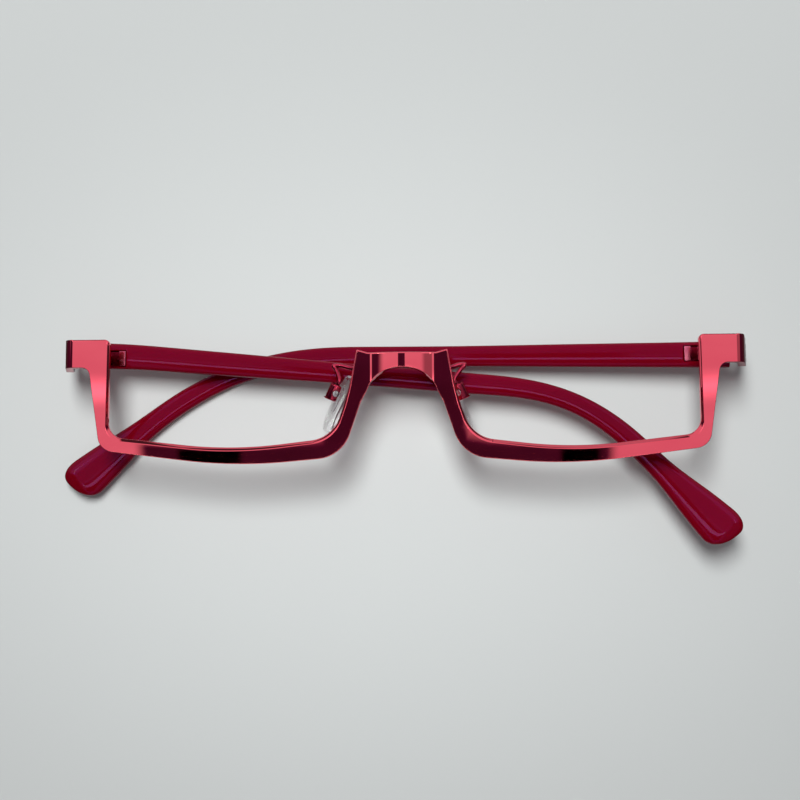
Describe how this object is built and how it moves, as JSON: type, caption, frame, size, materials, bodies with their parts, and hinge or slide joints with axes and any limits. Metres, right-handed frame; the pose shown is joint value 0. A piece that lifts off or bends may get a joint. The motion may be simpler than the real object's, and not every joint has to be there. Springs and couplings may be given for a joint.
{
  "type": "folded glasses frame",
  "caption": "Red under-rim costume glasses frame with no lenses, folding plastic temples and clear nose pads.",
  "frame": {"origin": "centre of the outline on the table that the folded glasses lie on", "axes": "+X to the right when looking at the front, +Y up the front from the rims to the bridge, +Z out of the front face, away from the table. Left and right in every name are as seen when looking at the front"},
  "size_m": [0.144, 0.043, 0.0168],
  "materials": {
    "red_metal": "mirror gloss",
    "red_plastic": "gloss",
    "clear_silicone": "clear, soft",
    "steel": "satin"
  },
  "bodies": {
    "front": {"front_frame": "red_metal", "left_front_leaf": "red_metal", "right_front_leaf": "red_metal", "left_hinge_screw": "steel", "right_hinge_screw": "steel", "left_pad_arm": "red_metal", "right_pad_arm": "red_metal", "left_pad_box": "red_metal", "right_pad_box": "red_metal", "left_pad_screw": "steel", "right_pad_screw": "steel"},
    "left_temple_body": {"left_temple": "red_plastic", "left_temple_leaf": "red_metal"},
    "right_temple_body": {"right_temple": "red_plastic", "right_temple_leaf": "red_metal"},
    "left_pad_body": {"left_nose_pad": "clear_silicone", "left_pad_core": "clear_silicone"},
    "right_pad_body": {"right_nose_pad": "clear_silicone", "right_pad_core": "clear_silicone"}
  },
  "joints": [
    {"name": "right_fold", "type": "hinge", "parent": "front", "child": "right_temple_body", "pos_m": [0.07084, 0.01806, 0.00674], "axis": [0, -1, 0], "range_deg": [0, 90]},
    {"name": "left_fold", "type": "hinge", "parent": "front", "child": "left_temple_body", "pos_m": [-0.06972, 0.01806, 0.00674], "axis": [0, 1, 0], "range_deg": [0, 90]},
    {"name": "left_pad_rock", "type": "hinge", "parent": "front", "child": "left_pad_body", "pos_m": [-0.01357, 0.01008, 0.01218], "axis": [0.2811, -0.315, 0.9065], "range_deg": [-8, 8]},
    {"name": "right_pad_rock", "type": "hinge", "parent": "front", "child": "right_pad_body", "pos_m": [0.01238, 0.01008, 0.01218], "axis": [-0.2811, -0.315, 0.9065], "range_deg": [-8, 8]}
  ],
  "couplings": [
    {"joint": "left_fold", "follows": "right_fold", "ratio": 1}
  ]
}
